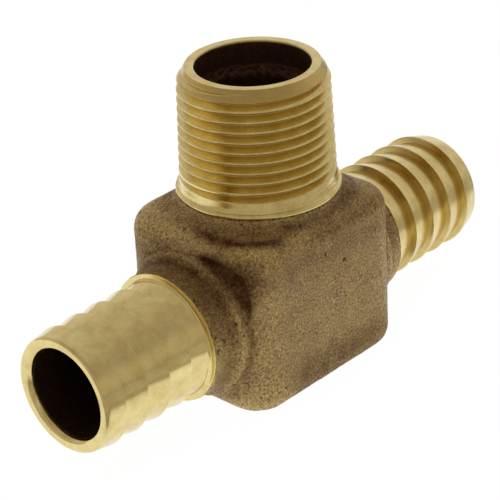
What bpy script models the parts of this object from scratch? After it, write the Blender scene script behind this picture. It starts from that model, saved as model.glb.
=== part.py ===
# Barbed tee connector: a cast body with two turned hose barbs and a threaded nipple set into its sockets.
# Metres, +Z up. The origin is the middle of the flat underside, below the crossing of the two waterways.
# The run lies along X with a barb at each end, and the branch stands up along Z.

import math

import bmesh
import bpy
from mathutils import Matrix

# Fits and facets
CLEARANCE = 0.0003              # gap between neighbouring pieces
SEGMENTS = 40                   # facets round each turned surface
ARC_STEPS = 4                   # facets in a quarter round

# Hose barbs
BARB_BORE = 0.01596             # diameter of the run's waterway
BARB_WALL = 0.0017              # from the bore to the root of the teeth
TOOTH_HEIGHT = 0.0011           # from the root to the crest
TOOTH_PITCH = 0.00505
TOOTH_COUNT = 4
LAST_TOOTH_LENGTH = 0.0045      # from the last crest to the collar
TOOTH_STEP = 0.0011             # length of the hollow step behind a crest
NOSE_LENGTH = 0.00386           # from the mouth to the first crest
NOSE_RISE = 0.00015             # the mouth's rim above the root of the teeth
MOUTH_CHAMFER = 0.0006          # inside edge of the mouth
BARB_COLLAR_RISE = 0.0008       # the collar beyond the crests
BARB_COLLAR_THICKNESS = 0.0005

# Threaded nipple
NIPPLE_BORE = 0.01972           # diameter of the counterbore in the open end
NIPPLE_BORE_DEPTH = 0.0046      # from the open end to the ledge at the foot of the counterbore
NIPPLE_WALL = 0.00306           # from the bore to the thread's crests at the open end
NIPPLE_HEIGHT = 0.02230         # from the nipple's seat to the open end
NIPPLE_RIM_CHAMFER = 0.0015     # radial depth of the chamfer outside the open end
NIPPLE_RIM_HEIGHT = 0.0023      # height of that chamfer
NIPPLE_BORE_CHAMFER = 0.00025   # inside edge of the open end
NIPPLE_COLLAR_RISE = 0.00075    # the collar beyond the foot of the thread
NIPPLE_COLLAR_THICKNESS = 0.0008
NIPPLE_COLLAR_FILLET = 0.0011
THREAD_PITCH = 0.0254 / 14
THREAD_TAPER = 1 / 16           # change of diameter over length
THREAD_CREST_FLAT = 0.0003
THREAD_ROOT_FLAT = 0.00012
THREAD_TOP_MARGIN = 0.00150     # from the open end to the upper end of the groove
THREAD_FADE_TURNS = 0.35        # the groove runs out over this much of a turn at each end
THREAD_FOOT_ANGLE = 93.0        # degrees round the branch, where the groove's low end lies

# Sockets, spigots and filler rings
RUN_SPIGOT_WALL = 0.0013
BRANCH_SPIGOT_WALL = 0.0016
BRANCH_PASSAGE = 0.0150         # diameter of the way from the counterbore down into the run
GROOVE_WIDTH = 0.0018
GROOVE_DEPTH = 0.0009
RUN_GROOVE_SETBACK = 0.0030     # from the boss's face to the groove
RUN_SOCKET_SEAT = 0.0034        # from the groove to the socket's floor
BRANCH_GROOVE_SETBACK = 0.0022
BRANCH_SOCKET_SEAT = 0.0028

# Cast body
RUN_BOSS_WALL = 0.0011          # outside the filler groove
RUN_BOSS_LAND = 0.0035          # from the boss's face to its fillet
RUN_BOSS_FILLET = 0.0018
BRANCH_BOSS_WALL = 0.0016
BRANCH_BOSS_LAND = 0.0002
BRANCH_BOSS_FILLET = 0.0010
BLOCK_SHOULDER = 0.00474        # from the branch boss to the block's ends
BLOCK_SIDE = 0.0013             # from the branch boss to the block's sides
BLOCK_FOOT = 0.0010             # from the run bosses' fillets to the underside
BLOCK_CROWN = 0.0096            # from the run's waterway to the block's top
TOP_EDGE_RADIUS = 0.0042
FOOT_EDGE_RADIUS = 0.0031
CORNER_MARGIN = 0.0020          # the upright edges' radius beyond that of the edges they run into

# Sizes that follow from those above
BARB_BORE_RADIUS = BARB_BORE / 2
BARB_ROOT_RADIUS = BARB_BORE_RADIUS + BARB_WALL
BARB_CREST_RADIUS = BARB_ROOT_RADIUS + TOOTH_HEIGHT
BARB_COLLAR_RADIUS = BARB_CREST_RADIUS + BARB_COLLAR_RISE
RUN_SPIGOT_RADIUS = BARB_BORE_RADIUS + RUN_SPIGOT_WALL
RUN_SOCKET_RADIUS = RUN_SPIGOT_RADIUS + CLEARANCE
RUN_SOCKET_DEPTH = RUN_GROOVE_SETBACK + GROOVE_WIDTH + RUN_SOCKET_SEAT
RUN_BOSS_RADIUS = RUN_SOCKET_RADIUS + GROOVE_DEPTH + RUN_BOSS_WALL

NIPPLE_BORE_RADIUS = NIPPLE_BORE / 2
NIPPLE_TOP = CLEARANCE + NIPPLE_HEIGHT
NIPPLE_FOOT = CLEARANCE + NIPPLE_COLLAR_THICKNESS + NIPPLE_COLLAR_FILLET
THREAD_FOOT = NIPPLE_FOOT + THREAD_PITCH / 2
THREAD_TURNS = (NIPPLE_TOP - THREAD_TOP_MARGIN - THREAD_FOOT) / THREAD_PITCH
BRANCH_SPIGOT_RADIUS = NIPPLE_BORE_RADIUS + BRANCH_SPIGOT_WALL
BRANCH_SOCKET_RADIUS = BRANCH_SPIGOT_RADIUS + CLEARANCE
BRANCH_SOCKET_DEPTH = BRANCH_GROOVE_SETBACK + GROOVE_WIDTH + BRANCH_SOCKET_SEAT
BRANCH_BOSS_RADIUS = BRANCH_SOCKET_RADIUS + GROOVE_DEPTH + BRANCH_BOSS_WALL

BLOCK_HALF_LENGTH = BRANCH_BOSS_RADIUS + BLOCK_SHOULDER
BLOCK_HALF_WIDTH = max(BRANCH_BOSS_RADIUS, RUN_BOSS_RADIUS + RUN_BOSS_FILLET) + BLOCK_SIDE
AXIS_HEIGHT = RUN_BOSS_RADIUS + RUN_BOSS_FILLET + BLOCK_FOOT
BLOCK_TOP = AXIS_HEIGHT + BARB_BORE_RADIUS + BLOCK_CROWN
CORNER_RADIUS = max(TOP_EDGE_RADIUS, FOOT_EDGE_RADIUS) + CORNER_MARGIN
RUN_FACE = BLOCK_HALF_LENGTH + RUN_BOSS_FILLET + RUN_BOSS_LAND
BRANCH_FACE = BLOCK_TOP + BRANCH_BOSS_FILLET + BRANCH_BOSS_LAND

BRASS_COLOUR = (0.60, 0.47, 0.20, 1.0)
BRONZE_COLOUR = (0.24, 0.17, 0.09, 1.0)
FILLER_COLOUR = (0.66, 0.58, 0.40, 1.0)


def clear_scene():
    for item in list(bpy.data.objects):
        bpy.data.objects.remove(item, do_unlink=True)


def new_collection(name):
    collection = bpy.data.collections.new(name)
    bpy.context.scene.collection.children.link(collection)
    return collection


def new_material(name, colour, roughness):
    material = bpy.data.materials.new(name)
    material.use_nodes = True
    shader = material.node_tree.nodes["Principled BSDF"]
    shader.inputs["Base Color"].default_value = colour
    shader.inputs["Roughness"].default_value = roughness
    shader.inputs["Metallic"].default_value = 1.0
    material.diffuse_color = colour
    return material


def new_object(name, mesh, collection):
    solid = bpy.data.objects.new(name, mesh)
    collection.objects.link(solid)
    return solid


def hollow_curve(start, end):
    """Points of a quarter-round hollow between two (radius, height) points, level where it ends."""
    points = []
    for step in range(ARC_STEPS + 1):
        angle = math.pi / 2 * step / ARC_STEPS
        radius = end[0] + (start[0] - end[0]) * (1 - math.sin(angle))
        height = start[1] + (end[1] - start[1]) * (1 - math.cos(angle))
        points.append((radius, height))
    return points


def profile_mesh(name, profile, closed):
    """A line through (radius, height) points, standing in the XZ plane."""
    count = len(profile)
    edges = [(i, (i + 1) % count) for i in range(count if closed else count - 1)]
    mesh = bpy.data.meshes.new(name)
    mesh.from_pydata([(radius, 0.0, height) for radius, height in profile], edges, [])
    return mesh


def turned(name, profile, collection, closed=True):
    """A profile turned about Z; its outer side runs from top to bottom."""
    solid = new_object(name, profile_mesh(name, profile, closed), collection)
    screw = solid.modifiers.new("turn", "SCREW")
    screw.angle = math.tau
    screw.steps = SEGMENTS
    screw.render_steps = SEGMENTS
    screw.use_merge_vertices = True
    screw.merge_threshold = 0.000001
    return solid


def lay_along_run(solid, direction=1):
    """Turn a piece that was made upright so that it lies along the run."""
    solid.location.z = AXIS_HEIGHT
    solid.rotation_euler.y = direction * math.pi / 2


def boolean(solid, other, operation):
    modifier = solid.modifiers.new(operation.lower(), "BOOLEAN")
    modifier.operation = operation
    modifier.solver = "EXACT"
    modifier.object = other
    other.hide_render = True
    other.display_type = "WIRE"


def bake(solid):
    """Replace an object's modifiers by the mesh that they make."""
    bpy.context.view_layer.update()
    evaluated = solid.evaluated_get(bpy.context.evaluated_depsgraph_get())
    solid.data = bpy.data.meshes.new_from_object(evaluated)
    solid.modifiers.clear()


def finish(solid, material, parent):
    """Bake a piece, smooth its round faces and give it its material and its place in the assembly."""
    bake(solid)
    solid.data.name = solid.name
    solid.data.shade_smooth()
    solid.data.set_sharp_from_angle(angle=math.radians(32.0))
    solid.data.materials.clear()
    solid.data.materials.append(material)
    solid.parent = parent


def rounded_block(name, low, high, collection, top_radius=0.0, foot_radius=0.0):
    """The block's plan between two heights, with round upright edges and round rims where asked."""
    builder = bmesh.new()
    size = (2 * BLOCK_HALF_LENGTH, 2 * BLOCK_HALF_WIDTH, high - low, 1.0)
    place = Matrix.Translation((0.0, 0.0, (low + high) / 2))
    bmesh.ops.create_cube(builder, size=1.0, matrix=place @ Matrix.Diagonal(size))

    def round_edges(chosen, radius):
        edges = [edge for edge in builder.edges if chosen(edge)]
        bmesh.ops.bevel(builder, geom=edges, offset=radius, segments=ARC_STEPS, profile=0.5, affect="EDGES")

    def lies_at(height):
        return lambda edge: all(math.isclose(v.co.z, height, abs_tol=1e-6) for v in edge.verts)

    round_edges(lambda edge: abs(edge.verts[0].co.z - edge.verts[1].co.z) > CLEARANCE, CORNER_RADIUS)
    if top_radius:
        round_edges(lies_at(high), top_radius)
    if foot_radius:
        round_edges(lies_at(low), foot_radius)
    mesh = bpy.data.meshes.new(name)
    builder.to_mesh(mesh)
    builder.free()
    return new_object(name, mesh, collection)


def socket_profile(face, socket_radius, setback, depth, bore_radius):
    """A socket from above its boss's face down to its floor, with the filler groove in its wall."""
    groove_radius = socket_radius + GROOVE_DEPTH
    groove_top = face - setback
    groove_foot = groove_top - GROOVE_WIDTH
    floor = face - depth
    return [(socket_radius, face + CLEARANCE), (socket_radius, groove_top), (groove_radius, groove_top),
            (groove_radius, groove_foot), (socket_radius, groove_foot), (socket_radius, floor),
            (bore_radius, floor)]


def run_waterway(collection):
    """Cutter for the run's bore with a socket at each end."""
    end = socket_profile(RUN_FACE, RUN_SOCKET_RADIUS, RUN_GROOVE_SETBACK, RUN_SOCKET_DEPTH,
                         BARB_BORE_RADIUS)
    other_end = [(radius, -height) for radius, height in reversed(end)]
    profile = [(0.0, end[0][1])] + end + other_end + [(0.0, -end[0][1])]
    cutter = turned("run_waterway", profile, collection, closed=False)
    lay_along_run(cutter)
    return cutter


def branch_waterway(collection):
    """Cutter for the branch socket and the passage down into the run."""
    end = socket_profile(BRANCH_FACE, BRANCH_SOCKET_RADIUS, BRANCH_GROOVE_SETBACK, BRANCH_SOCKET_DEPTH,
                         BRANCH_PASSAGE / 2)
    profile = [(0.0, end[0][1])] + end + [(BRANCH_PASSAGE / 2, AXIS_HEIGHT), (0.0, AXIS_HEIGHT)]
    return turned("branch_waterway", profile, collection, closed=False)


def run_bosses(collection):
    """Both round bosses of the run as one bar through the block, flaring where they leave its ends."""
    flare = hollow_curve((RUN_BOSS_RADIUS + RUN_BOSS_FILLET, BLOCK_HALF_LENGTH),
                         (RUN_BOSS_RADIUS, BLOCK_HALF_LENGTH + RUN_BOSS_FILLET))
    half = [(RUN_BOSS_RADIUS, RUN_FACE)] + list(reversed(flare))
    other_half = [(radius, -height) for radius, height in reversed(half)]
    profile = [(0.0, RUN_FACE)] + half + other_half + [(0.0, -RUN_FACE)]
    bar = turned("run_bosses", profile, collection, closed=False)
    lay_along_run(bar)
    return bar


def branch_boss(collection):
    """The branch's round boss, flaring into the block's top and flush with the block's sides."""
    flare_radius = BRANCH_BOSS_RADIUS + BRANCH_BOSS_FILLET
    flare = hollow_curve((flare_radius, BLOCK_TOP), (BRANCH_BOSS_RADIUS, BLOCK_TOP + BRANCH_BOSS_FILLET))
    profile = [(0.0, BRANCH_FACE), (BRANCH_BOSS_RADIUS, BRANCH_FACE)] + list(reversed(flare))
    profile += [(flare_radius, BLOCK_TOP - TOP_EDGE_RADIUS), (0.0, BLOCK_TOP - TOP_EDGE_RADIUS)]
    boss = turned("branch_boss", profile, collection, closed=False)
    plan = rounded_block("block_plan", AXIS_HEIGHT, BRANCH_FACE + CLEARANCE, collection)
    boolean(boss, plan, "INTERSECT")
    return boss


def cast_body(parts, cutters):
    """The rounded block with its bosses, bored and socketed."""
    body = rounded_block("cast_body", 0.0, BLOCK_TOP, parts, TOP_EDGE_RADIUS, FOOT_EDGE_RADIUS)
    boolean(body, run_bosses(cutters), "UNION")
    boolean(body, branch_boss(cutters), "UNION")
    boolean(body, run_waterway(cutters), "DIFFERENCE")
    boolean(body, branch_waterway(cutters), "DIFFERENCE")
    return body


def barb_profile():
    """Half section of a hose barb: height 0 is the boss's face, and the mouth is at the top."""
    collar_face = CLEARANCE + BARB_COLLAR_THICKNESS
    first_crest = collar_face + LAST_TOOTH_LENGTH + (TOOTH_COUNT - 1) * TOOTH_PITCH
    mouth = first_crest + NOSE_LENGTH
    spigot_end = CLEARANCE - RUN_SOCKET_DEPTH

    profile = [(BARB_BORE_RADIUS + MOUTH_CHAMFER, mouth), (BARB_ROOT_RADIUS + NOSE_RISE, mouth)]
    for tooth in range(TOOTH_COUNT):
        crest = first_crest - tooth * TOOTH_PITCH
        profile += hollow_curve((BARB_CREST_RADIUS, crest), (BARB_ROOT_RADIUS, crest - TOOTH_STEP))
    profile += [(BARB_CREST_RADIUS, collar_face), (BARB_COLLAR_RADIUS, collar_face),
                (BARB_COLLAR_RADIUS, CLEARANCE), (RUN_SPIGOT_RADIUS, CLEARANCE),
                (RUN_SPIGOT_RADIUS, spigot_end), (BARB_BORE_RADIUS, spigot_end),
                (BARB_BORE_RADIUS, mouth - MOUTH_CHAMFER)]
    return profile


def thread_radius(height):
    """Crest radius of the taper thread at a height above the branch boss's face."""
    return NIPPLE_BORE_RADIUS + NIPPLE_WALL + (NIPPLE_TOP - height) * THREAD_TAPER / 2


def nipple_profile():
    """Half section of the nipple before threading: height 0 is the boss's face."""
    chamfer_foot = NIPPLE_TOP - NIPPLE_RIM_HEIGHT
    rim_radius = thread_radius(chamfer_foot)
    foot_radius = thread_radius(NIPPLE_FOOT)
    collar_radius = foot_radius + NIPPLE_COLLAR_RISE
    collar_top = CLEARANCE + NIPPLE_COLLAR_THICKNESS
    spigot_end = CLEARANCE - BRANCH_SOCKET_DEPTH
    ledge = NIPPLE_TOP - NIPPLE_BORE_DEPTH

    flare = hollow_curve((collar_radius, collar_top), (foot_radius, NIPPLE_FOOT))
    profile = [(NIPPLE_BORE_RADIUS + NIPPLE_BORE_CHAMFER, NIPPLE_TOP),
               (rim_radius - NIPPLE_RIM_CHAMFER, NIPPLE_TOP), (rim_radius, chamfer_foot)]
    profile += list(reversed(flare))
    profile += [(collar_radius, CLEARANCE), (BRANCH_SPIGOT_RADIUS, CLEARANCE),
                (BRANCH_SPIGOT_RADIUS, spigot_end), (BRANCH_PASSAGE / 2, spigot_end),
                (BRANCH_PASSAGE / 2, ledge), (NIPPLE_BORE_RADIUS, ledge),
                (NIPPLE_BORE_RADIUS, NIPPLE_TOP - NIPPLE_BORE_CHAMFER)]
    return profile


def thread_cutter(collection):
    """A right-hand helical groove of 60 degree section that follows the taper and runs out at both ends."""
    flank = math.tan(math.radians(30.0))
    mouth_half = (THREAD_PITCH - THREAD_CREST_FLAT) / 2
    depth = (mouth_half - THREAD_ROOT_FLAT / 2) / flank
    lift = THREAD_CREST_FLAT / 2
    outer_half = mouth_half + lift * flank
    root_half = THREAD_ROOT_FLAT / 2
    section = [(lift, outer_half), (lift, -outer_half), (-depth, -root_half), (-depth, root_half)]
    start_radius = thread_radius(THREAD_FOOT)
    section = [(start_radius + radius, height) for radius, height in section]

    groove = new_object("thread_groove", profile_mesh("thread_groove", section, True), collection)
    screw = groove.modifiers.new("helix", "SCREW")
    screw.angle = math.tau * THREAD_TURNS
    screw.screw_offset = THREAD_PITCH * THREAD_TURNS
    screw.steps = round(SEGMENTS * THREAD_TURNS)
    screw.render_steps = screw.steps
    bake(groove)

    builder = bmesh.new()
    builder.from_mesh(groove.data)
    for vertex in builder.verts:
        radius = math.hypot(vertex.co.x, vertex.co.y)
        part_turn = math.atan2(vertex.co.y, vertex.co.x) / math.tau
        turn = part_turn + round(vertex.co.z / THREAD_PITCH - part_turn)
        from_end = min(turn, THREAD_TURNS - turn)
        fade = max(0.0, 1.0 - from_end / THREAD_FADE_TURNS)
        centre = THREAD_FOOT + turn * THREAD_PITCH
        moved = radius + thread_radius(centre) - start_radius + fade * (depth + lift)
        vertex.co.x *= moved / radius
        vertex.co.y *= moved / radius
    bmesh.ops.holes_fill(builder, edges=builder.edges, sides=len(section))
    bmesh.ops.recalc_face_normals(builder, faces=builder.faces)
    builder.to_mesh(groove.data)
    builder.free()
    groove.location.z = BRANCH_FACE + THREAD_FOOT
    groove.rotation_euler.z = math.radians(THREAD_FOOT_ANGLE)
    return groove


def threaded_nipple(parts, cutters):
    nipple = turned("threaded_nipple", nipple_profile(), parts)
    nipple.location.z = BRANCH_FACE
    boolean(nipple, thread_cutter(cutters), "DIFFERENCE")
    return nipple


def filler_ring(name, socket_radius, collection):
    """A filler ring clear of its groove's floor and walls, centred on its own origin."""
    outer = socket_radius + GROOVE_DEPTH - CLEARANCE
    half_width = GROOVE_WIDTH / 2 - CLEARANCE
    profile = [(outer, half_width), (outer, -half_width),
               (socket_radius, -half_width), (socket_radius, half_width)]
    return turned(name, profile, collection)


def main():
    clear_scene()
    parts = new_collection("barbed_tee_connector")
    cutters = new_collection("cutters")
    brass = new_material("turned_brass", BRASS_COLOUR, 0.28)
    bronze = new_material("cast_bronze", BRONZE_COLOUR, 0.55)
    filler = new_material("filler_metal", FILLER_COLOUR, 0.35)
    assembly = new_object("tee_assembly", None, parts)

    finish(cast_body(parts, cutters), bronze, assembly)
    finish(threaded_nipple(parts, cutters), brass, assembly)

    for side, direction in (("left", -1), ("right", 1)):
        barb = turned(side + "_barb", barb_profile(), parts)
        lay_along_run(barb, direction)
        barb.location.x = direction * RUN_FACE
        finish(barb, brass, assembly)

        ring = filler_ring(side + "_braze_ring", RUN_SOCKET_RADIUS, parts)
        lay_along_run(ring, direction)
        ring.location.x = direction * (RUN_FACE - RUN_GROOVE_SETBACK - GROOVE_WIDTH / 2)
        finish(ring, filler, assembly)

    ring = filler_ring("branch_braze_ring", BRANCH_SOCKET_RADIUS, parts)
    ring.location.z = BRANCH_FACE - BRANCH_GROOVE_SETBACK - GROOVE_WIDTH / 2
    finish(ring, filler, assembly)


main()
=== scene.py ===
import math

import bmesh
import bpy
import numpy as np
from mathutils import Matrix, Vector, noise


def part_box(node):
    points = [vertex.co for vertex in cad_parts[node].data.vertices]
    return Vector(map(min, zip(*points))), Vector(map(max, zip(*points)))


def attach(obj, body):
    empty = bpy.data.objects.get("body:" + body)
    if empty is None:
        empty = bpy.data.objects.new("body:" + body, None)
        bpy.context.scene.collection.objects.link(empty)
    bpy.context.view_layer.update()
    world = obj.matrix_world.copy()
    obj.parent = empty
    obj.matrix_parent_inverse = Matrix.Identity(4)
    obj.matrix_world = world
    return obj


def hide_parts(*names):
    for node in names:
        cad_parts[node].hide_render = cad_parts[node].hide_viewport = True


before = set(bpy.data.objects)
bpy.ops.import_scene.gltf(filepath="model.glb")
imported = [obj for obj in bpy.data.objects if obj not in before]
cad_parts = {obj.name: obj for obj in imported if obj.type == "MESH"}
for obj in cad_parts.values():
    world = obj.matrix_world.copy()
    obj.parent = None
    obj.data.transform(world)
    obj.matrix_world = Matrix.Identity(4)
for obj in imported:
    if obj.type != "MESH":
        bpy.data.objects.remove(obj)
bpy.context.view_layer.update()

# Shapes are worked out in millimetres from the crossing of the run and the branch, then put in place
low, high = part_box("left_barb")
axisHeight = (low.z + high.z) / 2
place = Matrix.Translation((0, 0, axisHeight)) @ Matrix.Scale(0.001, 4)
turnTo = {"left": Matrix.Rotation(-math.pi / 2, 4, "Y"), "right": Matrix.Rotation(math.pi / 2, 4, "Y"),
          "up": Matrix.Identity(4)}
pathRadius = 10.0  # circle that sections are swept round
weldDistance = 0.002


# Node helpers, for geometry trees and for materials
def put(tree, kind, inputs=None, **settings):
    node = tree.nodes.new(kind)
    for name, value in settings.items():
        setattr(node, name, value)
    for name, value in (inputs or {}).items():
        if isinstance(value, bpy.types.NodeSocket):
            tree.links.new(value, node.inputs[name])
        else:
            node.inputs[name].default_value = value
    return node


def calc(tree, operation, a, b=0.0, c=0.0):
    return put(tree, "ShaderNodeMath", {0: a, 1: b, 2: c}, operation=operation).outputs[0]


def newTree(name, kind, inputs, outputs):
    tree = bpy.data.node_groups.new(name, kind)
    ids = {}
    for label, socketKind in inputs.items():
        ids[label] = tree.interface.new_socket(label, in_out="INPUT", socket_type=socketKind).identifier
    for label, socketKind in outputs.items():
        tree.interface.new_socket(label, in_out="OUTPUT", socket_type=socketKind)
    return tree, tree.nodes.new("NodeGroupInput").outputs, tree.nodes.new("NodeGroupOutput").inputs, ids


def newObject(name, data):
    thing = bpy.data.objects.new(name, data)
    bpy.context.scene.collection.objects.link(thing)
    return thing


def settle(piece):
    # the shape that the modifiers give becomes the piece's own mesh
    bpy.context.view_layer.update()
    evaluated = piece.evaluated_get(bpy.context.evaluated_depsgraph_get())
    mesh = bpy.data.meshes.new_from_object(evaluated)
    piece.modifiers.clear()
    piece.data = mesh
    mesh.name = piece.name


# Sections: lines of (radius, height) that run down the outer side
def section(name, points):
    curve = bpy.data.curves.new(name, "CURVE")
    curve.dimensions = "3D"
    line = curve.splines.new("POLY")
    line.points.add(len(points) - 1)
    for spot, (radius, height) in zip(line.points, points):
        spot.co = (radius - pathRadius, -height, 0.0, 1.0)
    return newObject(name, curve)


def arc(centre, radius, start, end, steps=6):
    angles = [math.radians(start + (end - start) * i / steps) for i in range(steps + 1)]
    return [(centre[0] + radius * math.cos(a), centre[1] + radius * math.sin(a)) for a in angles]


def hollow(wall, flat, steps=8):
    # a quarter-round inside corner, from its upper end on a wall to its lower end on a flat
    angles = [math.pi / 2 * i / steps for i in range(steps, -1, -1)]
    return [(wall[0] + (flat[0] - wall[0]) * (1 - math.sin(a)), flat[1] + (wall[1] - flat[1]) * (1 - math.cos(a)))
            for a in angles]


def straight(start, end, steps):
    return [(start[0] + (end[0] - start[0]) * i / steps, start[1] + (end[1] - start[1]) * i / steps)
            for i in range(steps + 1)]


def sweepRound(tree, sections, facets):
    circle = put(tree, "GeometryNodeCurvePrimitiveCircle", {"Resolution": facets, "Radius": pathRadius})
    upright = put(tree, "GeometryNodeSetCurveNormal", {"Curve": circle.outputs["Curve"]}, mode="Z_UP")
    swept = put(tree, "GeometryNodeCurveToMesh",
                {"Curve": upright.outputs["Curve"], "Profile Curve": sections})
    return swept.outputs["Mesh"]


def closeUp(tree, given, shape, keenAngle=None):
    # shared end of each tree: weld the seams, shade smooth but for keen edges, realize and give the finish
    welded = put(tree, "GeometryNodeMergeByDistance", {"Geometry": shape, "Distance": weldDistance})
    smooth = put(tree, "GeometryNodeSetShadeSmooth", {"Geometry": welded.outputs[0]})
    if keenAngle:
        turn = put(tree, "GeometryNodeInputMeshEdgeAngle").outputs["Unsigned Angle"]
        keen = calc(tree, "GREATER_THAN", turn, math.radians(keenAngle))
        smooth = put(tree, "GeometryNodeSetShadeSmooth",
                     {"Geometry": smooth.outputs[0], "Selection": keen, "Shade Smooth": False}, domain="EDGE")
    real = put(tree, "GeometryNodeRealizeInstances", {"Geometry": smooth.outputs[0]})
    return put(tree, "GeometryNodeSetMaterial",
               {"Geometry": real.outputs[0], "Material": given["Finish"]}).outputs[0]


def objectShape(tree, thing):
    return put(tree, "GeometryNodeObjectInfo", {"Object": thing}).outputs["Geometry"]


def joined(tree, *shapes):
    join = tree.nodes.new("GeometryNodeJoinGeometry")
    for shape in shapes:
        tree.links.new(shape, join.inputs[0])
    return join.outputs[0]


# Plain turned solid
def turnedTree():
    tree, given, out, ids = newTree("turnedSection", "GeometryNodeTree", {
        "Section": "NodeSocketObject", "Facets": "NodeSocketInt", "Finish": "NodeSocketMaterial"},
        {"Geometry": "NodeSocketGeometry"})
    shape = sweepRound(tree, objectShape(tree, given["Section"]), given["Facets"])
    tree.links.new(closeUp(tree, given, shape), out[0])
    return tree, ids


# Hose barb: the same tooth again and again between the nose and the foot
def barbTree():
    tree, given, out, ids = newTree("hoseBarb", "GeometryNodeTree", {
        "Nose": "NodeSocketObject", "Tooth": "NodeSocketObject", "Foot": "NodeSocketObject",
        "Tooth Count": "NodeSocketInt", "Tooth Pitch": "NodeSocketFloat",
        "Facets": "NodeSocketInt", "Finish": "NodeSocketMaterial"},
        {"Geometry": "NodeSocketGeometry"})
    # a section's height runs along -Y, so the next tooth towards the foot is at +Y
    step = put(tree, "ShaderNodeCombineXYZ", {"Y": given["Tooth Pitch"]})
    spots = put(tree, "GeometryNodeMeshLine",
                {"Count": given["Tooth Count"], "Offset": step.outputs[0]})
    teeth = put(tree, "GeometryNodeInstanceOnPoints",
                {"Points": spots.outputs[0], "Instance": objectShape(tree, given["Tooth"])})
    realTeeth = put(tree, "GeometryNodeRealizeInstances", {"Geometry": teeth.outputs[0]})
    lines = joined(tree, realTeeth.outputs[0], objectShape(tree, given["Nose"]),
                   objectShape(tree, given["Foot"]))
    shape = sweepRound(tree, lines, given["Facets"])
    tree.links.new(closeUp(tree, given, shape, keenAngle=35), out[0])
    return tree, ids


# Nipple: a sheet wrapped round the branch, cut by a helical groove, on a plain turned foot and bore
def threadTree():
    floats = ("Low", "High", "Crest Radius", "Lip Radius", "Chamfer Slope", "Taper", "Pitch",
              "Groove Half", "Groove Depth", "Flank", "Groove Foot", "Foot Turn", "Last Turn",
              "Fade Turns", "Rounding")
    inputs = dict.fromkeys(floats, "NodeSocketFloat")
    inputs.update({"Plain": "NodeSocketObject", "Rows": "NodeSocketInt", "Facets": "NodeSocketInt",
                   "Finish": "NodeSocketMaterial"})
    tree, given, out, ids = newTree("taperThread", "GeometryNodeTree", inputs,
                                    {"Geometry": "NodeSocketGeometry"})

    def c(operation, a, b=0.0, third=0.0):
        return calc(tree, operation, a, b, third)

    sheet = put(tree, "GeometryNodeMeshGrid",
                {"Size X": 1.0, "Size Y": 1.0, "Vertices X": given["Rows"],
                 "Vertices Y": c("ADD", given["Facets"], 1.0)})
    spot = put(tree, "ShaderNodeSeparateXYZ", {0: put(tree, "GeometryNodeInputPosition").outputs[0]})
    along = c("ADD", spot.outputs["X"], 0.5)
    turn = c("ADD", spot.outputs["Y"], 0.5)
    below = c("MULTIPLY", along, c("SUBTRACT", given["High"], given["Low"]))
    height = c("SUBTRACT", given["High"], below)

    # how far a point is from the middle of the nearest groove, and how far along the groove it is
    part = c("FRACT", c("SUBTRACT", turn, given["Foot Turn"]))
    rise = c("SUBTRACT", c("DIVIDE", c("SUBTRACT", height, given["Groove Foot"]), given["Pitch"]), part)
    lap = c("ROUND", rise)
    away = c("MULTIPLY", c("ABSOLUTE", c("SUBTRACT", rise, lap)), given["Pitch"])
    run = c("ADD", lap, part)
    fade = c("DIVIDE", c("MINIMUM", run, c("SUBTRACT", given["Last Turn"], run)), given["Fade Turns"])
    fade = c("MINIMUM", c("MAXIMUM", fade, 0.0), 1.0)

    lift = c("MULTIPLY", c("SUBTRACT", 1.0, fade), given["Groove Depth"])
    wedge = c("SUBTRACT", c("DIVIDE", c("SUBTRACT", given["Groove Half"], away), given["Flank"]), lift)
    cut = c("SMOOTH_MIN", c("SMOOTH_MAX", wedge, 0.0, given["Rounding"]), given["Groove Depth"],
            given["Rounding"])
    crest = c("ADD", given["Crest Radius"], c("MULTIPLY", below, c("MULTIPLY", given["Taper"], 0.5)))
    chamfer = c("ADD", given["Lip Radius"], c("MULTIPLY", below, given["Chamfer Slope"]))
    radius = c("SMOOTH_MIN", c("SUBTRACT", crest, cut), chamfer, given["Rounding"])

    # both ends of the sheet keep the plain radius, so that they meet the turned foot and lip
    tiny = 1e-5
    for atEnd, plainRadius in ((c("LESS_THAN", along, tiny), given["Lip Radius"]),
                               (c("GREATER_THAN", along, 1 - tiny), crest)):
        radius = put(tree, "GeometryNodeSwitch", {"Switch": atEnd, "False": radius, "True": plainRadius},
                     input_type="FLOAT").outputs[0]

    # painted shade with tarnish darkens the groove by its depth, and the chamfer is duller than the crests
    onChamfer = c("LESS_THAN", chamfer, c("SUBTRACT", crest, cut))
    shadeAndTarnish = c("MAXIMUM", c("DIVIDE", cut, given["Groove Depth"]), onChamfer)
    deep = put(tree, "GeometryNodeStoreNamedAttribute",
               {"Geometry": sheet.outputs["Mesh"], "Name": "groove", "Value": shadeAndTarnish},
               data_type="FLOAT", domain="POINT")
    angle = c("MULTIPLY", turn, math.tau)
    wrapped = put(tree, "ShaderNodeCombineXYZ",
                  {"X": c("MULTIPLY", radius, c("COSINE", angle)),
                   "Y": c("MULTIPLY", radius, c("SINE", angle)), "Z": height})
    wall = put(tree, "GeometryNodeSetPosition",
               {"Geometry": deep.outputs[0], "Position": wrapped.outputs[0]})
    plain = sweepRound(tree, objectShape(tree, given["Plain"]), given["Facets"])
    tree.links.new(closeUp(tree, given, joined(tree, wall.outputs[0], plain)), out[0])
    return tree, ids


def shaped(name, made, values):
    tree, ids = made
    piece = newObject(name, bpy.data.meshes.new(name))
    modifier = piece.modifiers.new("shape", "NODES")
    modifier.node_group = tree
    for label, value in values.items():
        modifier[ids[label]] = value
    settle(piece)
    for value in values.values():
        if isinstance(value, bpy.types.Object):
            bpy.data.objects.remove(value)
    return piece


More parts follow.
